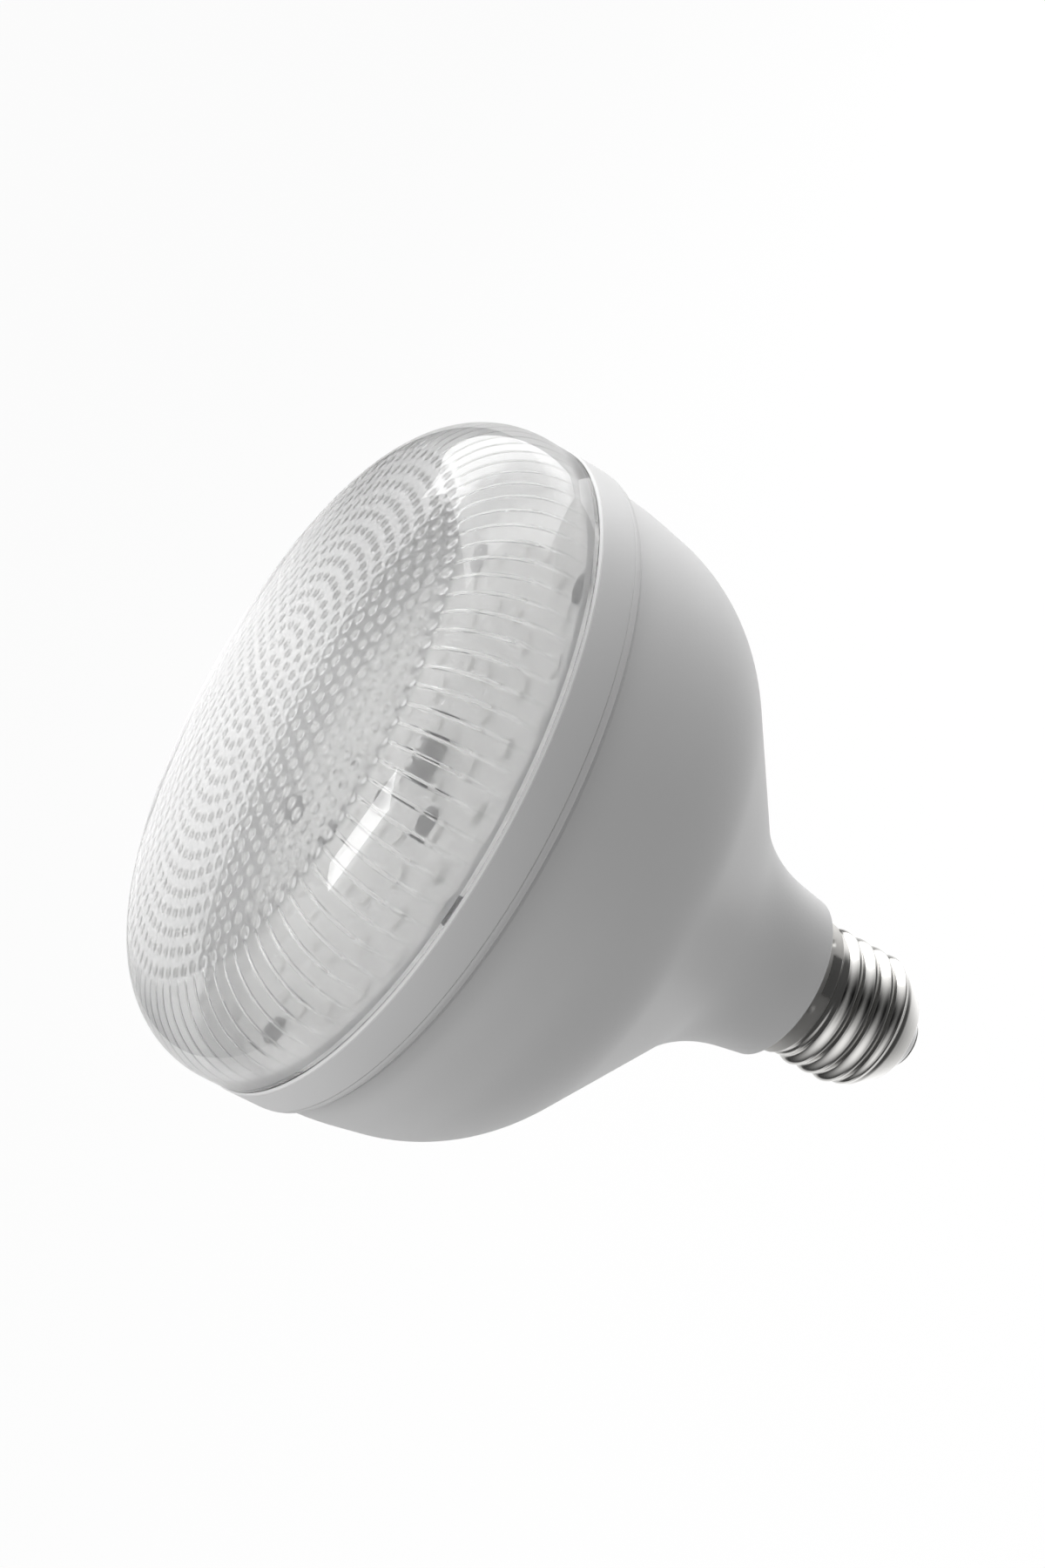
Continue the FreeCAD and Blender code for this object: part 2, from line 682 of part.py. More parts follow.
pieces = {
    "centre_contact": make_centre_contact,
    "cap_insulator": make_cap_insulator,
    "screw_shell": make_screw_shell,
    "housing_shell": make_housing_shell,
    "front_ring": make_front_ring,
    "lens_cover": make_lens_cover,
    "heat_sink": make_heat_sink,
    "led_board": make_led_board,
    "led_chips": make_led_chips,
    "board_screws": make_board_screws,
    "board_connector": make_board_connector,
    "driver_board": make_driver_board,
    "varistor": make_varistor,
    "fuse_resistor": lambda: axial_part(fuse),
    "bridge_rectifier": make_bridge_rectifier,
    "line_inductor": make_line_inductor,
    "film_capacitor": make_film_capacitor,
    "input_capacitor": lambda: can_capacitor(input_can),
    "output_capacitor": lambda: can_capacitor(output_can),
    "transformer_core": make_transformer_core,
    "transformer_winding": make_transformer_winding,
    "control_chip": make_control_chip,
    "output_diode": lambda: axial_part(diode),
    "live_wire": make_live_wire,
    "neutral_wire": make_neutral_wire,
    "led_wire_positive": lambda: led_wire(1),
    "led_wire_negative": lambda: led_wire(-1),
}

os.makedirs("parts", exist_ok=True)
for name, make in pieces.items():
    shape = make()
    shape.exportStep("parts/%s.step" % name)
    count, valid, volume = len(shape.Solids), shape.isValid(), shape.Volume
    print("%-20s solids %2d  valid %s  volume %9.1f mm3" % (name, count, valid, volume))
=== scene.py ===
import json
import math

import bmesh
import bpy
from mathutils import Matrix, Vector


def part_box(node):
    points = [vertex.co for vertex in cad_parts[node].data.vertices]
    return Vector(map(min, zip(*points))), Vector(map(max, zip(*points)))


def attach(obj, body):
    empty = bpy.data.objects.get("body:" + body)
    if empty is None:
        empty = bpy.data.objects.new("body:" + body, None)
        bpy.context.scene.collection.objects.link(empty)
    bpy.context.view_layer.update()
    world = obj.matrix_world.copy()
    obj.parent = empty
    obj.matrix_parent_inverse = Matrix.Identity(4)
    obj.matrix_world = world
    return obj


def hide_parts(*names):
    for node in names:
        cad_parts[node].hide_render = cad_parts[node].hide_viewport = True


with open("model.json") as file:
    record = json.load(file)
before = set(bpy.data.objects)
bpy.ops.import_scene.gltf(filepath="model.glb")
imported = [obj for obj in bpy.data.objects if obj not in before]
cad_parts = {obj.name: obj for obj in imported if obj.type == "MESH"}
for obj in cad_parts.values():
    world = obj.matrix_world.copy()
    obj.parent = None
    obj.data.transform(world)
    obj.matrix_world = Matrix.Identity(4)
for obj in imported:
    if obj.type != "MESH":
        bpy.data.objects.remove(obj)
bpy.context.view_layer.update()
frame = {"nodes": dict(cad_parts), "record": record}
mm = 0.001
turn = 2 * math.pi
print("frame loaded:", len(frame["nodes"]), "nodes")


# sockets as values, for shader and geometry trees alike

class Field:
    def __init__(self, graph, socket):
        self.graph = graph
        self.socket = socket

    def maths(self, operation, *others):
        values = dict(enumerate((self,) + others))
        return self.graph.add("ShaderNodeMath", {"operation": operation}, values)

    def __add__(self, other):
        return self.maths("ADD", other)

    def __sub__(self, other):
        return self.maths("SUBTRACT", other)

    def __rsub__(self, other):
        return (self * -1) + other

    def __mul__(self, other):
        return self.maths("MULTIPLY", other)

    def __truediv__(self, other):
        return self.maths("DIVIDE", other)

    def __pow__(self, other):
        return self.maths("POWER", other)

    def __abs__(self):
        return self.maths("ABSOLUTE")

    def clamped(self):
        return self.maths("MAXIMUM", 0.0).maths("MINIMUM", 1.0)

    def offCentre(self):  # distance to the nearest whole number, with its sign
        return self - self.maths("ROUND")

    def step(self, low, high):  # smooth step from 0 at low to 1 at high
        return self.graph.add("ShaderNodeMapRange", {"interpolation_type": "SMOOTHSTEP"},
                              {"Value": self, "From Min": low, "From Max": high})


class Graph:
    def __init__(self, tree):
        self.tree = tree

    def fill(self, socket, value):  # a link for a field, and a plain setting for anything else
        if isinstance(value, Field):
            self.tree.links.new(value.socket, socket)
        else:
            socket.default_value = value

    def add(self, kind, settings=None, values=None, output=0):
        node = self.tree.nodes.new(kind)
        for key, value in (settings or {}).items():
            setattr(node, key, value)
        for key, value in (values or {}).items():
            self.fill(node.inputs[key], value)
        return node if output is None else Field(self, node.outputs[output])

    def several(self, kind, settings, values, outputs):
        node = self.add(kind, settings, values, None)
        return [Field(self, node.outputs[name]) for name in outputs]

    def split(self, vector):  # its x, y and z
        return self.several("ShaderNodeSeparateXYZ", {}, {"Vector": vector}, "XYZ")

    def blend(self, factor, low, high):
        # colours: low where factor is 0, high where it is 1; the Mix node's colour sockets go by number
        low, high = [c if isinstance(c, Field) else (*c, 1) for c in (low, high)]
        return self.add("ShaderNodeMix", {"data_type": "RGBA"}, {0: factor, 6: low, 7: high}, 2)

    def mixed(self, factor, low, high):  # shaders: low where factor is 0, high where it is 1
        return self.add("ShaderNodeMixShader", {}, {0: factor, 1: low, 2: high})

    def place(self):
        return self.add("ShaderNodeTexCoord", output="Object")

    def noise(self, scale, detail=2.0, roughness=0.5, at=None):
        return self.add("ShaderNodeTexNoise", {}, {"Vector": at or self.place(), "Scale": scale,
                                                   "Detail": detail, "Roughness": roughness})


def nodeOf(tree, kind):
    return next(n for n in tree.nodes if n.type == kind)


def newMaterial(name):
    material = bpy.data.materials.new(name)
    material.use_nodes = True
    return material, Graph(material.node_tree), nodeOf(material.node_tree, "BSDF_PRINCIPLED")


def feed(graph, surface, **links):
    for name, value in links.items():
        graph.fill(surface.inputs[name.replace("_", " ")], value)


def bumped(graph, height, distance):
    return graph.add("ShaderNodeBump", {}, {"Strength": 1.0, "Distance": distance, "Height": height})


# clear lens: smooth outside, rings of bumps inside its face and ribs inside its rounded side

lens = {"radius": 61.3, "flangeRadius": 61.5, "flangeFoot": 114.0, "flangeHeight": 0.7, "sideHeight": 4.3,
        "cornerRadius": 17.2, "domeRadius": 194.0, "wall": 2.2, "lipHeight": 3.2, "lipWall": 1.4,
        "lipRadius": 58.95, "flangeEdge": 0.03, "flangeRim": 0.4, "flangeRounding": 0.1, "flangeRise": 0.02,
        "innerFoot": 0.1, "faceSpace": 0.5, "facets": 8, "outerColumns": 240, "flangePace": 0.08,
        "cornerSteps": 36, "domeSteps": 14, "innerSteps": 26, "sharp": 50,
        "ribColumns": (-1.25, -1.0, -0.9, -0.7, -0.4, 0, 0.4, 0.7, 0.9, 1.0, 1.25)}
lensPattern = {"Ring Pitch": 3.22, "Ring Count": 15, "Bump Radius": 1.2, "Bump Height": 0.11,
               "Bump Turn": 9.5, "Rib Count": 96, "Rib Width": 1.0, "Rib Height": 0.10, "Rib Turn": 0.0,
               "Rib Fade": 130.0, "Face Radius": 49.6}
ribRise = {"start": 0.3, "full": 1.8, "foot": 1.0}  # how a rib grows outside the face and above the flange
perRing = 6  # ring n holds 6 n bumps or chips
flangeTop = lens["flangeFoot"] + lens["flangeHeight"]


def bumpField(value, radius, angle):
    # 0 at the middle of a bump and 1 at its edge
    ring = (radius / value["Ring Pitch"]).maths("ROUND")
    cells = (ring * perRing).maths("MAXIMUM", 1.0)
    along = ((angle - value["Bump Turn"] * (turn / 360)) * cells / turn).offCentre()
    sideways = along * turn / cells * ring * value["Ring Pitch"]
    outwards = radius - ring * value["Ring Pitch"]
    near = (sideways * sideways + outwards * outwards) / (value["Bump Radius"] ** 2)
    farAway = 9  # well past 1, so there are no bumps outside the last ring
    return near + ring.maths("GREATER_THAN", value["Ring Count"] + 0.5) * farAway


def ribField(value, angle):
    # 0 on the crest of a rib, and 1 or -1 at its feet
    across = ((angle - value["Rib Turn"] * (turn / 360)) * value["Rib Count"] / turn).offCentre()
    return across * turn / value["Rib Count"] * (lens["radius"] - lens["wall"]) * 2 / value["Rib Width"]


# finishes

mouldFinish = {"shade": 0.03, "cloudScale": 38, "cloudRange": 0.06, "grain": 1900, "grainDepth": 0.02 * mm}
# tints are the clear plastic's own colours, except the darker tint between the bumps, which is painted shade,
# and veils the shares of milky white over it
lensFinish = {"thin": (0.985, 0.985, 0.985), "thick": (0.97, 0.97, 0.97), "ior": 1.5, "haze": 0.04,
              "flowScale": 55, "flowDepth": 0.004 * mm, "sideTint": (1.0, 1.0, 1.0),
              "gapShadeTint": (0.64, 0.64, 0.64), "bumpTint": (0.86, 0.86, 0.86), "faceBlur": 1.0,
              "milk": (0.97, 0.97, 0.97), "milkRoughness": 0.45, "glowThrough": 0.92,
              "veil": 0.14, "veilLow": 0.85, "veilRange": 0.3, "mostVeil": 0.96,
              "faceVeil": 0.12, "bumpVeil": 0.25, "bumpCore": 0.05, "bumpSpread": 1.0,
              "sideVeil": 0.38, "ribCore": 0.3, "ribSpread": 1.4, "ribLow": 114.5, "ribHigh": 130,
              "edgeRise": 0.06, "edgeStart": 0.9, "edgeFull": 0.3}
capFinish = {"bright": (0.80, 0.79, 0.77), "dull": (0.66, 0.65, 0.63), "roughness": 0.09,
             "hazeScale": 130, "hazeRange": 0.12, "lineScale": 900, "lineRange": 0.06, "lineStretch": 0.08,
             "lineDepth": 0.008 * mm, "satin": 0.45, "satinFoot": (24.5, 25.0),
             "wornTurns": (270, 275, 306, 311), "wornTop": (26.9, 27.3)}
speckleRange = 0.1


def mouldedPlastic(name, colour, roughness, grain=1.0):
    values = mouldFinish
    material, graph, surface = newMaterial(name)
    cloud = graph.noise(values["cloudScale"], detail=3)
    fine = graph.noise(values["grain"], roughness=0.6)
    dark = [c * (1 - values["shade"]) for c in colour]
    feed(graph, surface, Base_Color=graph.blend(cloud, dark, colour),
         Roughness=cloud * values["cloudRange"] + (roughness - values["cloudRange"] / 2),
         Normal=bumped(graph, fine, values["grainDepth"] * grain))
    return material


def lensPlastic(name, values):
    # clear plastic with a milky veil: thin all over, thicker on the bumps and between the ribs
    material, graph, clear = newMaterial(name)
    flow = graph.noise(values["flowScale"])
    inner = graph.add("ShaderNodeAttribute", {"attribute_name": "innerSide"}, {}, "Fac")
    x, y, z = graph.split(graph.place())
    radius = (x * x + y * y).maths("SQRT") / mm
    angle = y.maths("ARCTAN2", x)
    height = z / mm
    face = 1 - radius.step(lensPattern["Face Radius"] - values["faceBlur"],
                           lensPattern["Face Radius"] + values["faceBlur"])
    bump = 1 - bumpField(lensPattern, radius, angle).step(values["bumpCore"], values["bumpSpread"])
    rib = 1 - abs(ribField(lensPattern, angle)).step(values["ribCore"], values["ribSpread"])
    rib = rib * height.step(values["ribLow"], values["ribHigh"])
    plain = graph.blend(flow, values["thick"], values["thin"])
    # painted shade: the gaps between the bumps get a darker tint than the bumps themselves
    bumpsAndPaintedGapShade = graph.blend(bump, values["gapShadeTint"], values["bumpTint"])
    tint = graph.blend(inner, plain, graph.blend(face, values["sideTint"], bumpsAndPaintedGapShade))
    feed(graph, clear, Base_Color=tint, IOR=values["ior"], Transmission_Weight=1.0,
         Roughness=flow * values["haze"], Normal=bumped(graph, flow, values["flowDepth"]))
    side = (1 - rib) * (1 - face) * values["sideVeil"]
    pattern = bump * values["bumpVeil"] + side + face * values["faceVeil"]
    veil = pattern * inner + (flow * values["veilRange"] + values["veilLow"]) * values["veil"]
    veil = veil.clamped() * values["mostVeil"]
    white = graph.add("ShaderNodeBsdfPrincipled", {}, {"Base Color": (*values["milk"], 1),
                                                       "Roughness": values["milkRoughness"]})
    through = graph.add("ShaderNodeBsdfTranslucent", {}, {"Color": (*values["milk"], 1)})
    milk = graph.mixed(values["glowThrough"], white, through)
    both = graph.mixed(veil, Field(graph, clear.outputs[0]), milk)
    # painted highlight: the flange's edge is given opaque white, which stands in for the bright strip along
    # it, where the clear plastic would show a dark line
    edge = 1 - height.step(flangeTop, flangeTop + values["edgeRise"])
    edge = edge * radius.step(lens["radius"] - values["edgeStart"], lens["radius"] - values["edgeFull"])
    graph.fill(nodeOf(graph.tree, "OUTPUT_MATERIAL").inputs["Surface"], graph.mixed(edge, both, white))
    return material


def nickelPlate(name, values):
    # bright nickel with rolling lines; the collar is satin but for one polished patch, which the photo shows
    material, graph, surface = newMaterial(name)
    x, y, z = graph.split(graph.place())
    stretch = values["lineStretch"]
    rolled = graph.add("ShaderNodeCombineXYZ", {}, {"X": x * stretch, "Y": y * stretch, "Z": z})
    lines = graph.noise(values["lineScale"], roughness=0.6, at=rolled)
    haze = graph.noise(values["hazeScale"], detail=3)
    angle = y.maths("ARCTAN2", x) * (360 / turn) + 360
    first, firstFull, lastFull, last = values["wornTurns"]
    worn = angle.step(first, firstFull) * (1 - angle.step(lastFull, last))
    worn = worn * (1 - z.step(*[h * mm for h in values["wornTop"]]))
    satin = z.step(*[h * mm for h in values["satinFoot"]]) * (1 - worn) * values["satin"]
    shine = haze * values["hazeRange"] + lines * values["lineRange"] + satin + values["roughness"]
    feed(graph, surface, Base_Color=graph.blend(haze, values["dull"], values["bright"]), Metallic=1.0,
         Roughness=shine, Normal=bumped(graph, lines, values["lineDepth"]))
    return material


def speckled(name, colour, roughness, scale, shade, depth, metallic=0.0, coat=0.0):
    # scale is how fine the grain is, shade how much darker its low parts are, and depth its height in mm
    material, graph, surface = newMaterial(name)
    grain = graph.noise(scale, detail=3, roughness=0.6)
    dark = [c * (1 - shade) for c in colour]
    feed(graph, surface, Base_Color=graph.blend(grain, dark, colour),
         Roughness=grain * speckleRange + (roughness - speckleRange / 2),
         Metallic=metallic, Coat_Weight=coat, Normal=bumped(graph, grain, depth * mm))
    return material


finishes = {
    "body_white": mouldedPlastic("bodyPlastic", (0.80, 0.80, 0.80), 0.42),
    "ring_white": mouldedPlastic("ringPlastic", (0.82, 0.82, 0.82), 0.36, 0.6),
    "lens_clear": lensPlastic("lensPlastic", lensFinish),
    "cap_metal": nickelPlate("capNickel", capFinish),
    "contact": nickelPlate("contactNickel", dict(capFinish, roughness=0.16)),
    "insulator": speckled("insulatorGlass", (0.02, 0.02, 0.022), 0.15, 300, 0.3, 0.01, coat=0.5),
    "sink_metal": speckled("spunAluminium", (0.80, 0.80, 0.81), 0.35, 700, 0.08, 0.01, 1.0),
    "board_white": speckled("solderMask", (0.87, 0.87, 0.86), 0.38, 160, 0.04, 0.01, coat=0.2),
    "chip_pale": speckled("chipPale", (0.88, 0.88, 0.86), 0.32, 900, 0.10, 0.01),
    "screw_dark": speckled("blackZinc", (0.05, 0.05, 0.055), 0.34, 600, 0.3, 0.02, 0.7),
    "connector_black": speckled("connectorNylon", (0.05, 0.05, 0.055), 0.42, 500, 0.25, 0.02),
    "driver_green": speckled("driverMask", (0.05, 0.20, 0.09), 0.40, 260, 0.2, 0.02, coat=0.3),
    "epoxy_black": speckled("blackEpoxy", (0.03, 0.03, 0.032), 0.5, 1200, 0.3, 0.03),
    "fuse_green": speckled("fuseLacquer", (0.22, 0.36, 0.27), 0.35, 700, 0.2, 0.02),
    "varistor_blue": speckled("blueDip", (0.06, 0.16, 0.45), 0.3, 500, 0.2, 0.03),
    "film_red": speckled("redDip", (0.45, 0.08, 0.05), 0.3, 500, 0.2, 0.03),
    "ferrite": speckled("ferriteCore", (0.06, 0.06, 0.06), 0.55, 900, 0.25, 0.03),
    "can_black": speckled("blackSleeve", (0.03, 0.03, 0.035), 0.3, 300, 0.2, 0.02, coat=0.3),
    "can_green": speckled("greenSleeve", (0.05, 0.16, 0.11), 0.3, 300, 0.2, 0.02, coat=0.3),
    "tape_yellow": speckled("coilTape", (0.72, 0.54, 0.12), 0.35, 200, 0.12, 0.03),
    "wire_red": speckled("redWire", (0.50, 0.04, 0.035), 0.38, 800, 0.15, 0.01),
    "wire_black": speckled("blackWire", (0.03, 0.03, 0.03), 0.38, 800, 0.2, 0.01),
}
for part in frame["record"]["subparts"]:
    for place in frame["nodes"][part["node"]].material_slots:
        place.material = finishes[part["material_slot"]]
print("finishes made:", len(finishes))


# mesh helpers

fewestSteps = 3  # the least points of an arc
smallRounding = 0.4  # arcs under this radius get as many points as this one
onAxis = 1e-6


def roundedOutline(corners, pace=0.35):
    # points along straight runs with tangent arcs at (radius, height, rounding) corners, all in mm
    points = [Vector(corners[0][:2])]
    for before, corner, after in zip(corners, corners[1:], corners[2:]):
        rounding = corner[2] if len(corner) > 2 else 0
        here = Vector(corner[:2])
        if not rounding:
            points.append(here)
            continue
        back = (Vector(before[:2]) - here).normalized()
        ahead = (Vector(after[:2]) - here).normalized()
        half = back.angle(ahead) / 2
        middle = here + (back + ahead).normalized() * (rounding / math.sin(half))
        start = here + back * (rounding / math.tan(half)) - middle
        sweep = start.angle_signed(here + ahead * (rounding / math.tan(half)) - middle)
        steps = max(fewestSteps, math.ceil(abs(sweep) * max(rounding, smallRounding) / pace))
        for i in range(steps + 1):
            angle = -sweep * i / steps
            points.append(middle + Matrix.Rotation(angle, 2) @ start)
    points.append(Vector(corners[-1][:2]))
    return points


def arc(centre, radius, fromAngle, toAngle, steps):
    angles = [fromAngle + (toAngle - fromAngle) * i / steps for i in range(steps + 1)]
    return [centre + Vector((math.cos(a), math.sin(a))) * radius for a in angles]


def loopOf(mesh, point, columns):
    # a ring of vertices round the axis, or one vertex where the outline meets the axis
    angles = [turn * i / columns for i in range(columns)] if isinstance(columns, int) else columns
    radius, height = point.x, point.y * mm
    if radius < onAxis:
        return [mesh.verts.new((0, 0, height))]
    return [mesh.verts.new((radius * math.cos(a) * mm, radius * math.sin(a) * mm, height)) for a in angles]


def bridge(mesh, low, high):
    # faces between two rings, whose counts may differ
    if len(low) == 1 and len(high) == 1:
        return
    if len(low) == len(high):
        for i in range(len(low)):
            mesh.faces.new((low[i - 1], low[i], high[i], high[i - 1]))
        return
    i, j = 0, 0
    lowCount = len(low) if len(low) > 1 else 0
    highCount = len(high) if len(high) > 1 else 0
    while i < lowCount or j < highCount:
        stepLow = j >= highCount or (i < lowCount and (i + 0.5) / lowCount < (j + 0.5) / highCount)
        a, b = low[i % len(low)], high[j % len(high)]
        if stepLow:
            i += 1
            mesh.faces.new((a, low[i % len(low)], b))
        else:
            j += 1
            mesh.faces.new((a, high[j % len(high)], b))


def finished(name, mesh, finish, sharp=32):
    bmesh.ops.recalc_face_normals(mesh, faces=mesh.faces)
    data = bpy.data.meshes.new(name)
    mesh.to_mesh(data)
    mesh.free()
    data.shade_smooth()
    data.set_sharp_from_angle(angle=math.radians(sharp))
    data.materials.append(finishes[finish])
    return linked(name, data)


def linked(name, data):
    piece = bpy.data.objects.new(name, data)
    bpy.context.scene.collection.objects.link(piece)
    return piece


def lathe(name, outline, finish, columns=192, sharp=32):
    mesh = bmesh.new()
    rings = [loopOf(mesh, p, columns) for p in outline]
    for low, high in zip(rings, rings[1:] + rings[:1]):
        bridge(mesh, low, high)
    return finished(name, mesh, finish, sharp)


def installed(piece, slot, *nodes):
    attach(piece, "root")
    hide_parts(*nodes)
    return piece


# geometry trees

def treeFor(name, inputs):
    tree = bpy.data.node_groups.new(name, "GeometryNodeTree")
    tree.interface.new_socket("Geometry", in_out="INPUT", socket_type="NodeSocketGeometry")
    tree.interface.new_socket("Geometry", in_out="OUTPUT", socket_type="NodeSocketGeometry")
    for key, value in inputs.items():
        kind = "NodeSocketInt" if isinstance(value, int) else "NodeSocketFloat"
        tree.interface.new_socket(key, in_out="INPUT", socket_type=kind)
    graph = Graph(tree)
    entry = tree.nodes.new("NodeGroupInput")
    named = {socket.name: Field(graph, socket) for socket in entry.outputs if socket.name}
    return graph, named


def closeTree(graph, shape, finish):
    real = graph.add("GeometryNodeRealizeInstances", {}, {"Geometry": shape})
    painted = graph.add("GeometryNodeSetMaterial", {}, {"Geometry": real, "Material": finishes[finish]})
    end = graph.tree.nodes.new("NodeGroupOutput")
    graph.fill(end.inputs["Geometry"], painted)
    return graph.tree


def applyTree(piece, tree, inputs, sharp=32):
    # sets the named inputs, evaluates, and keeps the result as a plain mesh
    modifier = piece.modifiers.new(tree.name, "NODES")
    modifier.node_group = tree
    for item in tree.interface.items_tree:
        if item.item_type == "SOCKET" and item.in_out == "INPUT" and item.name in inputs:
            modifier[item.identifier] = inputs[item.name]
    evaluated = piece.evaluated_get(bpy.context.evaluated_depsgraph_get())
    result = bpy.data.meshes.new_from_object(evaluated)
    piece.modifiers.remove(modifier)
    piece.data = result
    result.name = piece.name
    result.shade_smooth()
    result.set_sharp_from_angle(angle=math.radians(sharp))
    return piece


def pushed(graph, shape, way, distance):
    offset = graph.add("ShaderNodeVectorMath", {"operation": "SCALE"}, {"Vector": way, "Scale": distance})
    return graph.add("GeometryNodeSetPosition", {}, {"Geometry": shape, "Offset": offset})


def lensArcs(depth):
    # the rounded side's centre and radius, the dome's, and the angle where they meet
    corner = Vector((lens["radius"] - lens["cornerRadius"], flangeTop + lens["sideHeight"]))
    rise = math.sqrt((lens["domeRadius"] - lens["cornerRadius"]) ** 2 - corner.x ** 2)
    dome = Vector((0, corner.y - rise))
    meet = math.atan2(rise, corner.x)
    return corner, lens["cornerRadius"] - depth, dome, lens["domeRadius"] - depth, meet


def lensPoint(depth, radius):
    # the point of the dome or of the rounded side at a radius from the axis
    corner, side, dome, top, meet = lensArcs(depth)
    if radius < corner.x + side * math.cos(meet):
        return Vector((radius, dome.y + math.sqrt(top ** 2 - radius ** 2)))
    return Vector((radius, corner.y + math.sqrt(max(side ** 2 - (radius - corner.x) ** 2, 0))))


def lensOutside(mesh):
    # flange, rounded side and dome, from the lip to the middle
    corner, side, dome, top, meet = lensArcs(0)
    rimTop = lens["flangeFoot"] + lens["flangeHeight"] * lens["flangeRim"]
    outside = roundedOutline([(lens["lipRadius"], lens["flangeFoot"]),
                              (lens["flangeRadius"], lens["flangeFoot"], lens["flangeEdge"]),
                              (lens["flangeRadius"], rimTop, lens["flangeRounding"]),
                              (lens["radius"], flangeTop + lens["flangeRise"])], lens["flangePace"])
    outside += arc(corner, side, 0, meet, lens["cornerSteps"])
    outside += arc(dome, top, meet, math.pi / 2, lens["domeSteps"])[1:-1]
    outside.append(Vector((0, dome.y + top)))
    rings = [loopOf(mesh, p, lens["outerColumns"]) for p in outside]
    for low, high in zip(rings, rings[1:]):
        bridge(mesh, low, high)
    return rings


def lensFace(mesh):
    # inner face: ring j holds 6 j vertices, so every bump gets the same little fan of them
    pace = lensPattern["Ring Pitch"] / lens["facets"]
    start = math.radians(lensPattern["Bump Turn"])
    count = round(lensPattern["Face Radius"] / pace)
    rings = [loopOf(mesh, lensPoint(lens["wall"], 0), 1)]
    for j in range(1, count + 1):
        angles = [start + turn * i / (perRing * j) for i in range(perRing * j)]
        rings.append(loopOf(mesh, lensPoint(lens["wall"], j * pace), angles))
        bridge(mesh, rings[-2], rings[-1])
    return rings, count * pace


def lensSide(mesh, faceEdge, faceRadius):
    # inner rounded side: the columns crowd where the ribs are, and start beside the face's first vertex
    half = lensPattern["Rib Width"] / (lens["radius"] - lens["wall"]) / 2
    step = turn / lensPattern["Rib Count"]
    offsets = [half * share for share in lens["ribColumns"]] + [step / 2]
    first = math.radians(lensPattern["Rib Turn"])
    start = math.radians(lensPattern["Bump Turn"])
    angles = [first + step * i + t for i in range(lensPattern["Rib Count"]) for t in offsets]
    shift = min(range(len(angles)), key=lambda i: abs(angles[i] - start))
    angles = angles[shift:] + [a + turn for a in angles[:shift]]
    corner, side = lensArcs(lens["wall"])[:2]
    edge = math.acos((faceRadius + lens["faceSpace"] - corner.x) / side)
    profile = arc(corner, side, edge, 0, lens["innerSteps"])
    profile.append(Vector((corner.x + side, flangeTop + lens["innerFoot"])))
    rings = [faceEdge]
    for point in profile:
        rings.append(loopOf(mesh, point, angles))
        bridge(mesh, rings[-2], rings[-1])
    return rings


def buildLens():
    mesh = bmesh.new()
    inner = mesh.verts.layers.float.new("innerSide")
    outside = lensOutside(mesh)
    face, faceRadius = lensFace(mesh)
    side = lensSide(mesh, face[-1], faceRadius)
    for ring in face + side:
        for vertex in ring:
            vertex[inner] = 1.0
    # lip that locates the lens in its ring
    lipFoot = lens["flangeFoot"] - lens["lipHeight"]
    lipBore = lens["lipRadius"] - lens["lipWall"]
    previous = side[-1]
    for point in ((lipBore, flangeTop + lens["innerFoot"]), (lipBore, lipFoot), (lens["lipRadius"], lipFoot)):
        ring = loopOf(mesh, Vector(point), lens["outerColumns"])
        bridge(mesh, previous, ring)
        previous = ring
    bridge(mesh, previous, outside[0])
    return finished("lensCover", mesh, "lens_clear", lens["sharp"])


def lensTree():
    graph, value = treeFor("lensPattern", lensPattern)
    x, y, z = graph.split(graph.add("GeometryNodeInputPosition"))
    radius = (x * x + y * y).maths("SQRT") / mm
    angle = y.maths("ARCTAN2", x)
    near = bumpField(value, radius, angle)
    bump = (1 - near).clamped() ** 2 * value["Bump Height"]
    across = ribField(value, angle)
    rib = (1 - across * across).clamped() ** 2 * value["Rib Height"]
    rib = rib * radius.step(value["Face Radius"] + ribRise["start"], value["Face Radius"] + ribRise["full"])
    rib = rib * z.step((lens["flangeFoot"] + ribRise["foot"]) * mm, value["Rib Fade"] * mm)
    inner = graph.add("GeometryNodeInputNamedAttribute", {"data_type": "FLOAT"}, {"Name": "innerSide"})
    moved = pushed(graph, value["Geometry"], graph.add("GeometryNodeInputNormal"), (bump + rib) * inner * mm)
    return closeTree(graph, moved, "lens_clear")


lensShape = applyTree(buildLens(), lensTree(), lensPattern, sharp=60)
lensCover = installed(lensShape, "lens_clear", "lens_cover")
print("lens made:", len(lensCover.data.polygons), "faces")


# plain ring and plastic body

ring = {"radius": 61.5, "foot": 107.6, "top": 114.0, "seam": 0.2, "edge": 0.06, "mouth": 0.2, "bore": 58.95,
        "footBore": 58.65, "ledge": 110.45, "ledgeRadius": 57.8, "ledgeHeight": 1.2}
# places with three values are a corner's radius, height and rounding
body = {"neckFoot": 28.8, "neckRadius": 15.4, "neckDraft": 9.2, "bevel": 0.7, "bevelEdge": 0.3,
        "flare": (18.02, 44.95, 29.5), "shoulder": (56.19, 78.5, 34.5), "skirtFoot": (59.58, 98.35, 52.0),
        "skirtRadius": 60.0, "groove": 0.45, "grooveFoot": 105.2, "grooveEdges": (0.2, 0.3, 0.25),
        "beadFoot": 105.95, "beadRadius": 61.4, "beadEdge": 1.1, "beadTop": 0.2,
        "wall": 2.2, "upstand": 1.5, "upstandRadius": 59.05, "insideSkirt": 98.4,
        "insideShoulder": (54.2, 79.9), "insideFlare": (15.9, 46.0), "insideNeck": 14.0, "floor": 31.0,
        "bore": 9.9, "spigot": 11.3, "spigotFoot": 18.2, "spigotTop": 24.1, "seat": (12.5, 24.6)}


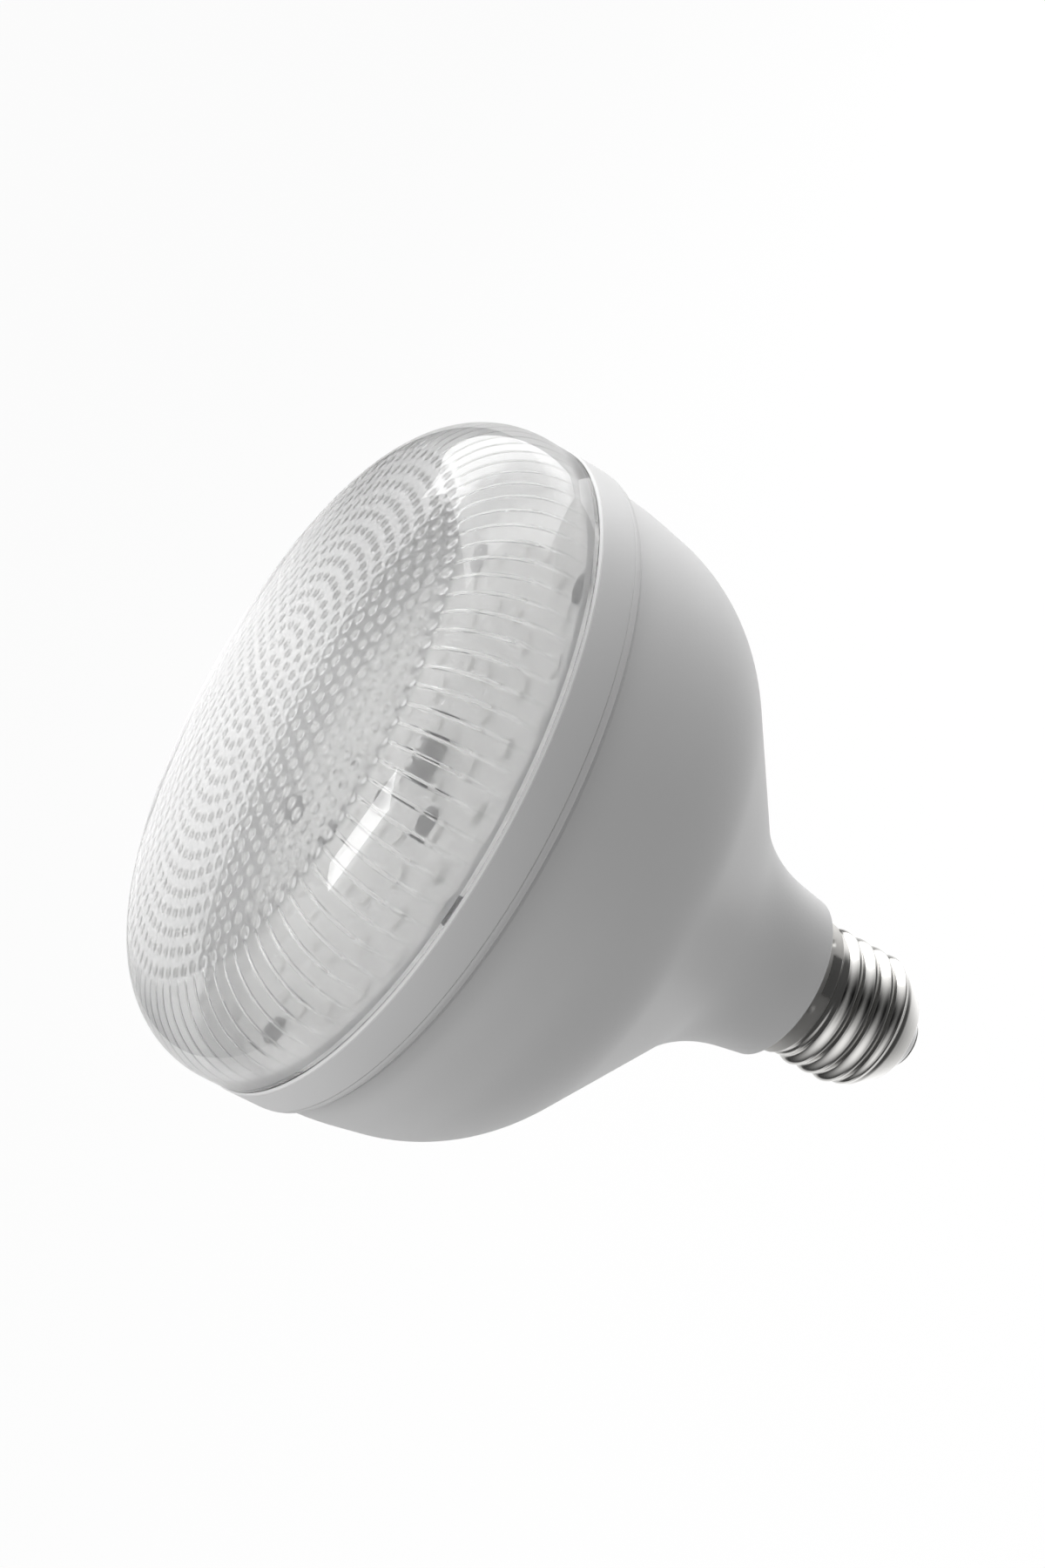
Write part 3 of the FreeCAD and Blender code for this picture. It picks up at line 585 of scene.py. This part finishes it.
def buildRing():
    r = ring
    ledgeFoot = r["ledge"] - r["ledgeHeight"]
    corners = [(r["footBore"], r["foot"]), (r["radius"], r["foot"], r["seam"]),
               (r["radius"], r["top"], r["edge"]), (r["bore"], r["top"], r["mouth"]),
               (r["bore"], r["ledge"]), (r["ledgeRadius"], r["ledge"]),
               (r["ledgeRadius"], ledgeFoot), (r["footBore"], ledgeFoot)]
    return lathe("frontRing", roundedOutline(corners, pace=0.1), "ring_white", columns=256)


def buildBody():
    b = body
    lean = math.tan(math.radians(b["neckDraft"]))
    grooveRadius = b["skirtRadius"] - b["groove"]
    footEdge, innerEdge, topEdge = b["grooveEdges"]
    outer = [(b["neckRadius"] - b["bevel"], b["neckFoot"]),
             (b["neckRadius"] + lean * b["bevel"], b["neckFoot"] + b["bevel"], b["bevelEdge"]),
             b["flare"], b["shoulder"], b["skirtFoot"], (b["skirtRadius"], b["grooveFoot"], footEdge),
             (grooveRadius, b["grooveFoot"] + b["groove"], innerEdge), (grooveRadius, b["beadFoot"], topEdge),
             (b["beadRadius"], b["beadFoot"], b["beadEdge"]), (b["beadRadius"], ring["foot"], b["beadTop"]),
             (b["upstandRadius"], ring["foot"])]
    rim = b["skirtRadius"] - b["wall"]
    upstandTop = ring["foot"] + b["upstand"]
    inner = [(b["upstandRadius"], upstandTop), (rim, upstandTop), (rim, b["insideSkirt"]),
             b["insideShoulder"], b["insideFlare"], (b["insideNeck"], b["floor"]), (b["bore"], b["floor"]),
             (b["bore"], b["spigotFoot"]), (b["spigot"], b["spigotFoot"]), (b["spigot"], b["spigotTop"]),
             b["seat"], (b["seat"][0], b["neckFoot"])]
    outline = roundedOutline(outer, pace=0.9) + [Vector(p) for p in inner]
    return lathe("bodyShell", outline, "body_white", columns=256, sharp=40)


installed(buildRing(), "ring_white", "front_ring")
installed(buildBody(), "body_white", "housing_shell")
print("ring and body made")


# rolled screw cap

cap = {"endHole": 8.0, "endRadius": 9.0, "endFoot": 4.0, "endRounding": 0.6, "wall": 0.4, "shoulder": 8.2,
       "shoulderRise": 0.3, "shoulderRounding": 2.0, "threadSpace": 0.8, "mean": 12.55, "top": 24.0,
       "topRise": 0.2, "topRounding": 0.4, "collarFoot": 24.6, "collar": 13.0, "collarRise": 0.3,
       "collarRounding": 0.5, "collarSpace": 1.1, "rim": 28.8, "rimBevel": 0.1, "insideRise": 0.4,
       "endInset": 0.2, "rows": 92, "collarRows": 16, "crestPower": 0.85, "dentPower": 1.5,
       "threadSkin": (0.7, 0.6), "collarSkin": (0.3, 0.2)}
capThread = {"Pitch": 3.629, "Depth": 1.1, "Crest Height": 17.85, "Thread Foot": 8.9, "Thread Top": 23.6,
             "Fade": 1.7, "Dimple Count": 6, "Dimple Turn": 259.4, "Dimple Height": 27.4,
             "Dimple Radius": 0.8, "Dimple Depth": 0.35}
insulator = {"bore": 1.05, "foot": 1.0, "seat": 4.9, "seatEdge": 0.3, "neck": 7.95, "neckFoot": 4.0,
             "inside": 4.4, "flange": 8.4, "top": 5.6}
contact = {"flat": 3.2, "flatEdge": 1.2, "radius": 4.75, "sideFoot": 0.6, "sideEdge": 0.5, "top": 1.0,
           "rivet": 1.0, "headFoot": 5.6, "head": 1.8, "headTop": 6.4, "headEdge": 0.3}


def straightUp(radius, low, high, rows):
    return [Vector((radius, low + (high - low) * i / rows)) for i in range(1, rows + 1)]


def buildCap():
    c = cap
    root = c["mean"] - capThread["Depth"] / 2
    threadFoot = c["shoulder"] + c["threadSpace"]
    outline = roundedOutline([(c["endHole"], c["endFoot"]), (c["endRadius"], c["endFoot"], c["endRounding"]),
                              (root, c["shoulder"] + c["shoulderRise"], c["shoulderRounding"]),
                              (root, threadFoot)], pace=0.3)
    outline += straightUp(root, threadFoot, c["top"], c["rows"])
    collarFoot = c["collarFoot"] + c["collarSpace"]
    outline += roundedOutline([(root, c["top"]), (root, c["top"] + c["topRise"], c["topRounding"]),
                               (c["collar"], c["collarFoot"] + c["collarRise"], c["collarRounding"]),
                               (c["collar"], collarFoot)], pace=0.2)[1:]
    outline += straightUp(c["collar"], collarFoot, c["rim"] - c["rimBevel"], c["collarRows"])
    inside = [(c["collar"] - c["rimBevel"], c["rim"]), (c["collar"] - c["wall"], c["rim"]),
              (c["collar"] - c["wall"], c["collarFoot"]), (root - c["wall"], c["top"] - c["topRise"]),
              (root - c["wall"], c["shoulder"] + c["insideRise"]),
              (c["endRadius"] - c["endInset"], c["endFoot"] + c["wall"]),
              (c["endHole"], c["endFoot"] + c["wall"])]
    outline += [Vector(p) for p in inside]
    return lathe("screwCap", outline, "cap_metal")


def capTree():
    graph, value = treeFor("capThread", capThread)
    x, y, z = graph.split(graph.add("GeometryNodeInputPosition"))
    radius = (x * x + y * y).maths("SQRT") / mm
    height = z / mm
    angle = y.maths("ARCTAN2", x) / turn
    wave = ((height - value["Crest Height"]) / value["Pitch"] - angle) * turn
    crest = (wave.maths("COSINE") * 0.5 + 0.5) ** cap["crestPower"]
    fade = height.step(value["Thread Foot"], value["Thread Foot"] + value["Fade"])
    fade = fade * (1 - height.step(value["Thread Top"] - value["Fade"], value["Thread Top"]))
    outside = radius.step(*[cap["mean"] - depth for depth in cap["threadSkin"]])
    raised = crest * fade * value["Depth"] * outside
    around = (angle - value["Dimple Turn"] / 360) * value["Dimple Count"]
    sideways = around.offCentre() * turn / value["Dimple Count"] * radius
    upwards = height - value["Dimple Height"]
    near = (sideways * sideways + upwards * upwards) / (value["Dimple Radius"] ** 2)
    dent = (1 - near).clamped() ** cap["dentPower"] * value["Dimple Depth"]
    dent = dent * radius.step(*[cap["collar"] - depth for depth in cap["collarSkin"]])
    outwards = graph.add("ShaderNodeVectorMath", {"operation": "NORMALIZE"},
                         {0: graph.add("ShaderNodeCombineXYZ", {}, {"X": x, "Y": y})})
    moved = pushed(graph, value["Geometry"], outwards, (raised - dent) * mm)
    return closeTree(graph, moved, "cap_metal")


def buildInsulator():
    d = insulator
    corners = [(d["bore"], d["foot"]), (d["seat"], d["foot"], d["seatEdge"]), (d["neck"], d["neckFoot"]),
               (d["neck"], d["inside"]), (d["flange"], d["inside"]), (d["flange"], d["top"]),
               (d["bore"], d["top"])]
    return lathe("insulatorDisc", roundedOutline(corners, pace=0.1), "insulator", columns=96)


def buildContact():
    c = contact
    corners = [(0, 0), (c["flat"], 0, c["flatEdge"]), (c["radius"], c["sideFoot"], c["sideEdge"]),
               (c["radius"], c["top"]), (c["rivet"], c["top"]), (c["rivet"], c["headFoot"]),
               (c["head"], c["headFoot"]), (c["head"], c["headTop"], c["headEdge"]), (0, c["headTop"])]
    return lathe("centreContact", roundedOutline(corners, pace=0.1), "contact", columns=96)


capShape = applyTree(buildCap(), capTree(), capThread, sharp=40)
screwCap = installed(capShape, "cap_metal", "screw_shell")
installed(buildInsulator(), "insulator", "cap_insulator")
installed(buildContact(), "contact", "centre_contact")
print("cap made:", len(screwCap.data.polygons), "faces")


# light board: chips and screws

chips = {"Ring Pitch": 11.0, "Ring Count": 4, "Length": 3.5, "Width": 2.8, "Height": 0.7}
screws = {"outerRadius": 49.5, "outerCount": 5, "outerTurn": 36.0, "innerRadius": 16.5,
          "innerTurns": (108.0, 252.0), "head": 5.4, "headHeight": 1.8, "headEdge": 1.0, "shank": 3.0,
          "length": 6.0, "point": 0.9, "pointShare": 0.6, "socket": 1.5, "socketFoot": 0.9,
          "socketDepth": 0.9, "socketMiddle": 1.1}
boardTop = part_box("led_board")[1][2] / mm


def chipTree():
    graph, value = treeFor("chipRings", chips)
    size = graph.add("ShaderNodeCombineXYZ", {}, {"X": value["Width"] * mm, "Y": value["Length"] * mm,
                                                  "Z": value["Height"] * mm})
    chip = graph.add("GeometryNodeMeshCube", {}, {"Size": size}, "Mesh")
    rings = graph.add("GeometryNodeJoinGeometry", {}, {}, None)
    for n in range(1, chips["Ring Count"] + 1):
        count = perRing * n
        circle = graph.add("GeometryNodeMeshCircle", {}, {"Vertices": count,
                                                          "Radius": value["Ring Pitch"] * (n * mm)}, "Mesh")
        index = graph.add("GeometryNodeInputIndex")
        spin = graph.add("ShaderNodeCombineXYZ", {}, {"Z": index * (turn / count)})
        placed = graph.add("GeometryNodeInstanceOnPoints", {}, {"Points": circle, "Instance": chip,
                                                                "Rotation": spin})
        half = graph.add("GeometryNodeTransform", {}, {"Geometry": placed,
                                                       "Rotation": (0, 0, turn / 2 / count)})
        graph.fill(rings.inputs[0], half)
    up = graph.add("ShaderNodeCombineXYZ", {}, {"Z": value["Height"] * (0.5 * mm) + boardTop * mm})
    lifted = graph.add("GeometryNodeTransform", {}, {"Geometry": Field(graph, rings.outputs[0]),
                                                     "Translation": up})
    return closeTree(graph, lifted, "chip_pale")


def bareObject(name):
    return linked(name, bpy.data.meshes.new(name))


def buildScrewHead():
    s = screws
    radius, head = s["shank"] / 2, s["head"] / 2
    tip = boardTop - s["length"]
    top = boardTop + s["headHeight"]
    corners = [(0, tip), (radius * s["pointShare"], tip), (radius, tip + s["point"]), (radius, boardTop),
               (head, boardTop), (head, top, s["headEdge"]), (s["socket"], top),
               (s["socketFoot"], top - s["socketDepth"]), (0, top - s["socketMiddle"])]
    return lathe("screwMaster", roundedOutline(corners, pace=0.25), "screw_dark", columns=24)


def screwTree(master):
    s = screws
    graph = treeFor("boardScrews", {})[0]
    shape = graph.add("GeometryNodeObjectInfo", {}, {"Object": master}, "Geometry")
    circle = graph.add("GeometryNodeMeshCircle", {}, {"Vertices": s["outerCount"],
                                                      "Radius": s["outerRadius"] * mm}, "Mesh")
    points = [graph.add("GeometryNodeTransform", {}, {"Geometry": circle,
                                                      "Rotation": (0, 0, math.radians(s["outerTurn"]))})]
    for angle in map(math.radians, s["innerTurns"]):
        place = (s["innerRadius"] * math.cos(angle) * mm, s["innerRadius"] * math.sin(angle) * mm, 0)
        points.append(graph.add("GeometryNodePoints", {}, {"Count": 1, "Position": place}))
    joined = graph.add("GeometryNodeJoinGeometry", {}, {}, None)
    for group in points:
        placed = graph.add("GeometryNodeInstanceOnPoints", {}, {"Points": group, "Instance": shape})
        graph.fill(joined.inputs[0], placed)
    return closeTree(graph, Field(graph, joined.outputs[0]), "screw_dark")


installed(applyTree(bareObject("ledChips"), chipTree(), chips), "chip_pale", "led_chips")
master = buildScrewHead()
screwShapes = applyTree(bareObject("boardScrews"), screwTree(master), {})
installed(screwShapes, "screw_dark", "board_screws")
bpy.data.objects.remove(master)
print("board made")


# camera, floor and lights

view = {"place": (0, -531.458, 305.18), "aim": (8.14, -0.09, 90.92), "roll": 61.27, "lens": 76.0,
        "sensor": 36}
# the backdrop's bright part lies behind the bulb, and what metal mirrors of it is dim to the left and right
studio = {"floorDrop": 260, "floorSize": 9000, "floorWhite": 0.9, "frontEdge": -100, "backEdge": 300,
          "dimEdge": -300, "backdrop": 1.3, "paper": (0.80, 0.80, 0.80), "palePaper": (0.82, 0.82, 0.82),
          "dimPaper": (0.03, 0.03, 0.03), "paperScale": 3, "paperRoughness": 0.9,
          "skyBehind": (0.2, 0.6), "skyLeft": (-0.45, -0.05), "skyRight": (0.02, 0.18),
          "middle": (0, 0, 90), "tightness": 8}
# flat panels: the way to each one from the bulb, the way its width runs, its size in mm, and its level,
# where 1 is white
panels = {"windowPanel": {"toward": (0.80, 0.50, 0.30), "along": (0.50, -0.30, -0.81), "width": 1250,
                          "height": 1050, "distance": 1000, "level": 1.9},
          "stripPanel": {"toward": (-0.24, -0.17, 0.955), "along": (-0.83, 0.54, 0.10), "width": 430,
                         "height": 290, "distance": 1000, "level": 8.0}}
# soft glows of the room: the way to each one and its level
glows = [((0.29, 0.35, 0.89), 1.45), ((-0.48, 0.34, 0.81), 1.3), ((0.88, 0.17, 0.45), 1.35),
         ((-0.29, -0.35, -0.89), 1.2), ((0.96, -0.12, -0.26), 0.85), ((-0.40, -0.26, 0.88), 1.05),
         ((0.61, 0.51, -0.60), 0.6), ((-0.79, -0.43, 0.43), 0.4), ((-0.50, -0.85, -0.20), 0.7)]


def facing(place, aim, along):
    # a camera's or a panel's matrix: it looks along its own -Z, and its own X runs as near as it can to along
    back = (Vector(place) - Vector(aim)).normalized()
    up = back.cross(Vector(along)).normalized()
    matrix = Matrix((up.cross(back), up, back)).transposed().to_4x4()
    matrix.translation = Vector(place) * mm
    return matrix


def buildCamera():
    data = bpy.data.cameras.new("camera")
    data.lens = view["lens"]
    data.sensor_width = view["sensor"]
    camera = linked("camera", data)
    ahead = (Vector(view["aim"]) - Vector(view["place"])).normalized()
    level = ahead.cross(Vector((0, 0, 1))).normalized()
    along = Matrix.Rotation(math.radians(view["roll"]), 3, ahead) @ level
    camera.matrix_world = facing(view["place"], view["aim"], along)
    bpy.context.scene.camera = camera
    bpy.context.scene.view_settings.view_transform = "Standard"


def seenBy(graph, mirrored, behind):
    # 1 for the camera's own rays, and how far the bright backdrop shows in gloss and through clear plastic
    camera, glossy, through, bounces = graph.several("ShaderNodeLightPath", {}, {}, (
        "Is Camera Ray", "Is Glossy Ray", "Is Transmission Ray", "Diffuse Depth"))
    straight = bounces.maths("LESS_THAN", 0.5)
    return camera, (glossy * mirrored * straight + through * behind).clamped()


def buildFloor():
    mesh = bmesh.new()
    half, drop = studio["floorSize"] / 2 * mm, -studio["floorDrop"] * mm
    corners = ((-half, -half), (half, -half), (half, half), (-half, half))
    mesh.faces.new([mesh.verts.new((x, y, drop)) for x, y in corners])
    data = bpy.data.meshes.new("floor")
    mesh.to_mesh(data)
    mesh.free()
    floor = linked("floor", data)
    material, graph, surface = newMaterial("floorPaper")
    x, y = graph.split(graph.place())[:2]
    behind = y.step(studio["frontEdge"] * mm, studio["backEdge"] * mm)
    mirrored = behind * x.step(studio["dimEdge"] * mm, 0) * (1 - x.step(0, -studio["dimEdge"] * mm))
    camera, seen = seenBy(graph, mirrored, behind)
    pale = graph.blend(graph.noise(studio["paperScale"]), studio["paper"], studio["palePaper"])
    shown = (camera + behind).clamped()
    feed(graph, surface, Base_Color=graph.blend(shown, studio["dimPaper"], pale),
         Roughness=studio["paperRoughness"])
    white = graph.add("ShaderNodeEmission", {}, {"Color": (1, 1, 1, 1),
                                                 "Strength": camera + (1 - camera) * studio["backdrop"]})
    glow = camera * studio["floorWhite"] + (1 - camera) * seen
    both = graph.mixed(glow, Field(graph, surface.outputs[0]), white)
    graph.fill(nodeOf(graph.tree, "OUTPUT_MATERIAL").inputs["Surface"], both)
    data.materials.append(material)
    floor.visible_diffuse = False
    floor.visible_shadow = False


def buildWorld():
    world = bpy.data.worlds.new("studio")
    bpy.context.scene.world = world
    world.use_nodes = True
    graph = Graph(world.node_tree)
    background = nodeOf(world.node_tree, "BACKGROUND")
    way = graph.add("ShaderNodeTexCoord", output="Generated")
    x, y = graph.split(way)[:2]
    room = None
    for toward, level in glows:
        near = graph.add("ShaderNodeVectorMath", {"operation": "DOT_PRODUCT"},
                         {0: way, 1: Vector(toward).normalized()}, "Value")
        glow = near.maths("MAXIMUM", 0.0) ** studio["tightness"] * level
        room = glow if room is None else room + glow
    behind = y.step(*studio["skyBehind"])
    mirrored = behind * x.step(*studio["skyLeft"]) * (1 - x.step(*studio["skyRight"]))
    camera, seen = seenBy(graph, mirrored, behind)
    level = camera + (1 - camera) * (seen * studio["backdrop"] + (1 - seen) * room)
    graph.fill(background.inputs["Strength"], level)
    background.inputs["Color"].default_value = (1, 1, 1, 1)


def buildPanel(name, values):
    lamp = bpy.data.lights.new(name, "AREA")
    lamp.shape = "RECTANGLE"
    lamp.size = values["width"] * mm
    lamp.size_y = values["height"] * mm
    lamp.energy = values["level"] * math.pi * lamp.size * lamp.size_y
    panel = linked(name, lamp)
    middle = Vector(studio["middle"])
    place = middle + Vector(values["toward"]).normalized() * values["distance"]
    panel.matrix_world = facing(place, middle, values["along"])
    panel.visible_camera = False


buildCamera()
buildFloor()
buildWorld()
for name, values in panels.items():
    buildPanel(name, values)
print("stage made:", len(panels), "panels and", len(glows), "glows")
